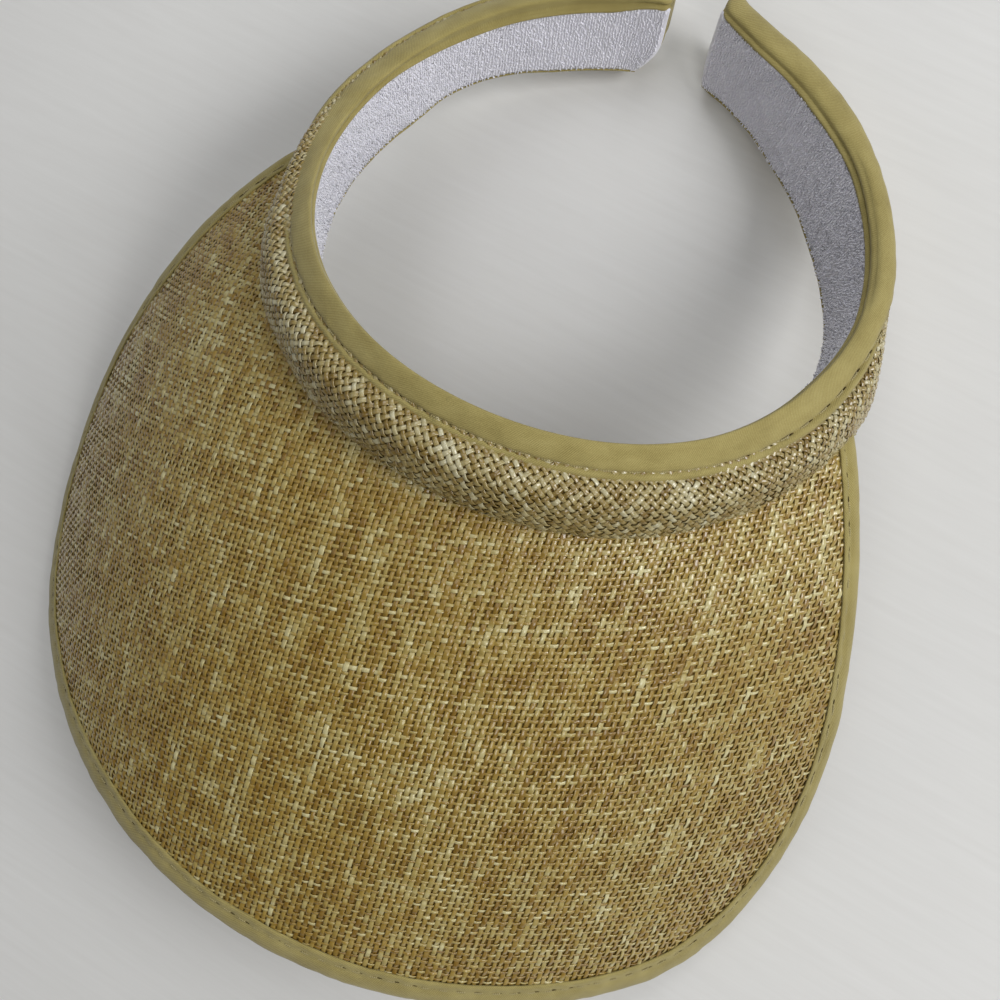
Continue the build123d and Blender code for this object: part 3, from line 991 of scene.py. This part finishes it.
def end_fold(side, name):
    """The tape's end, turned down over the arm's end and closed by hand."""
    end = arm_end(side)
    along = np.linspace(1.5, COVER_LENGTH - 0.3, 34)
    out, depth = cover_section(side * end, along)
    wall_depth = np.linspace(24.2, 1.6, 12)
    section_out = np.concatenate([out - 0.35, np.full(12, -7.7), [-6.0]])
    section_depth = np.concatenate([depth, wall_depth, [1.3]])
    centre_out, centre_depth = section_out.mean(), section_depth.mean()
    rings = []
    for back, size in ((0.9, 0.93), (0.6, 0.94), (0.2, 0.93), (0.0, 0.87), (-0.06, 0.76), (-0.10, 0.55)):
        o = centre_out + (section_out - centre_out) * size
        d = centre_depth + (section_depth - centre_depth) * size
        bulge = 0.12 * fast(o / 2.5, d / 3.0)
        rings.append(band_points(side * (end - np.degrees(back / TAPE_RADIUS)), o + bulge * 0.3, d))
    points = np.stack(rings)
    rows, columns = points.shape[:2]
    cloth = cloth_place(np.arange(rows)[:, None] * 1.2, run_along(section_out, section_depth))
    build = Build()
    build.add(points, oriented(grid_faces(rows, columns, ring=True), side), cloth=cloth.reshape(-1, 3))
    piece = build.piece(name, tape)
    close_ends(piece, rows, columns)
    return piece


def close_ends(piece, rows, columns):
    """Caps both ends of an open tube with one face each."""
    work = bmesh.new()
    work.from_mesh(piece.data)
    work.verts.ensure_lookup_table()
    for row in (0, rows - 1):
        work.faces.new(work.verts[row * columns:(row + 1) * columns])
    bmesh.ops.recalc_face_normals(work, faces=work.faces[:])
    work.to_mesh(piece.data)
    work.free()


# ---------------------------------------------------------------- assemble the brim

# the dark sheet under the brim's threads is painted shade for the gaps in the weave
straw_ground = brim_sheet("brim_straw_backing", painted_shade_backing, -0.50, -0.60)
lining_cloth = brim_sheet("brim_lining_cloth", lining, -1.98, -2.38)
brim_board = brim_sheet("brim_board", board, -0.68, -1.90, inset=1.2)
warps = [brim_threads(f"brim_warp_{k}", True, k) for k in range(4)]
wefts = [brim_threads(f"brim_weft_{k}", False, k) for k in range(4)]
edge_tape = brim_edge_tape()
edge_thread, edge_holes = edge_stitches()
seam_thread, seam_holes = seam_stitches()

for piece, slot, nodes in (
        (straw_ground, "straw", ["brim_straw_top"]), (lining_cloth, "lining", ["brim_lining"]),
        (brim_board, "board", ["brim_stiffener"]),
        (edge_tape, "tape", ["brim_edge_binding"]), (edge_thread, "thread", ["brim_edge_stitching"]),
        (seam_thread, "thread", ["brim_seam_stitching"]), (edge_holes, "thread", []),
        (seam_holes, "thread", []), *((p, "straw", []) for p in warps + wefts)):
    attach(piece, "visor")
    if nodes:
        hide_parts(*nodes)

# ---------------------------------------------------------------- assemble the band


def across_hinge(piece):
    """Bakes the piece's placement into its mesh."""
    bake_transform(piece)


for side, arm in ((-1, "left_arm"), (1, "right_arm")):
    hand = arm.split("_")[0]
    pad = band_pad(side, f"{hand}_band_pad")
    skin = [band_threads(side, way, f"{hand}_band_straw_{k}") for k, way in ((0, 1), (1, -1))]
    rim = top_tape(side, f"{hand}_top_tape")
    stitches, holes = tape_stitches(side, f"{hand}_tape")
    towel = terry_base(side, f"{hand}_terry_cloth")
    loops = terry_loops(side, f"{hand}_terry_loops")
    piping = hem(side, f"{hand}_hem")
    fold = end_fold(side, f"{hand}_end_fold")
    for piece, slot, nodes in (
            (pad, "foam", ["front_band_cover", "front_foam", f"{arm}_cover", f"{arm}_foam"]),
            (skin[0], "straw", []), (skin[1], "straw", []),
            (rim, "tape", ["front_top_binding", f"{arm}_top_binding"]),
            (stitches, "thread", ["front_top_stitching", f"{arm}_top_stitching"]), (holes, "thread", []),
            (towel, "terry", ["front_sweatband", f"{arm}_sweatband"]), (loops, "terry", []),
            (piping, "tape", [])):
        across_hinge(piece)
        if nodes:
            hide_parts(*nodes)
    strip = arm_strip(side, f"{hand}_spring")
    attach(strip, arm)
    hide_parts(f"{arm}_spring_strip")
    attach(fold, arm)
    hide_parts(f"{arm}_end_tab")

for node in frame["nodes"].values():
    if not node.hide_render:
        node.data.materials.clear()
        node.data.materials.append(spring)

# ---------------------------------------------------------------- floor, light and camera


def floor_material():
    s = Shader("table_top", Roughness=0.55, Specular_IOR_Level=0.3)
    cloud = s.noise(3.0, s.place(), 4.0)
    grain = s.noise(1.0, s.scaled(s.place(), (30.0, 420.0, 1.0), (0, 0, 0.48)), 4.0)
    tone = s.math("ADD", s.math("MULTIPLY", cloud, 0.6), s.math("MULTIPLY", grain, 0.4))
    s.colour(s.ramp(tone, (0.3, (0.70, 0.695, 0.68)), (0.7, (0.77, 0.77, 0.76))))
    s.bump(grain, 0.0002, 0.15)
    return s.material


def make_floor():
    count = 9
    edge = np.linspace(-2.4, 2.4, count)
    x, y = np.meshgrid(edge, edge, indexing="ij")
    mesh = bpy.data.meshes.new("table_top")
    points = np.stack([x, y, np.zeros_like(x)], -1).reshape(-1, 3)
    mesh.from_pydata(points.tolist(), [], grid_faces(count, count).tolist())
    mesh.materials.append(floor_material())
    link(bpy.data.objects.new("table_top", mesh))


make_floor()


LIGHT_TARGET = Vector((0.0, 0.0, 0.05))


def area_light(name, place, size, power, colour):
    """A square soft light, turned to the visor."""
    data = bpy.data.lights.new(name, "AREA")
    data.shape, data.size, data.size_y = "RECTANGLE", size, size
    data.energy, data.color = power, colour
    light = link(bpy.data.objects.new(name, data))
    light.location = place
    light.rotation_mode = "QUATERNION"
    light.rotation_quaternion = (LIGHT_TARGET - Vector(place)).to_track_quat("-Z", "Y")


area_light("key", (1.12, 0.58, 0.985), 0.8, 15.5, (1.0, 1.0, 1.0))
area_light("side", (-0.35, 1.20, 1.00), 1.1, 8.5, (0.97, 0.985, 1.0))
area_light("front", (0.90, -0.69, 1.13), 0.6, 5.0, (1.0, 0.99, 0.96))
area_light("fill", (-1.12, -0.58, 0.985), 1.0, 1.3, (1.0, 0.97, 0.94))
area_light("overhead", (0.0, 0.0, 1.60), 0.9, 3.2, (1.0, 0.99, 0.97))

bpy.context.scene.view_settings.view_transform = "Standard"
world = bpy.data.worlds.new("studio")
bpy.context.scene.world = world
world.use_nodes = True
background = world.node_tree.nodes["Background"].inputs
background["Color"].default_value = (0.96, 0.97, 1.0, 1)
background["Strength"].default_value = 0.04

camera_data = bpy.data.cameras.new("camera")
camera_data.lens, camera_data.sensor_width = 36.0, 36.0
camera_data.clip_start, camera_data.clip_end = 0.01, 20.0
camera = link(bpy.data.objects.new("camera", camera_data))
camera.location = (0.054143, 0.032937, 0.318532)
camera.rotation_euler = Euler((radians(-2.4503), radians(11.2320), radians(27.4242)))
bpy.context.scene.camera = camera
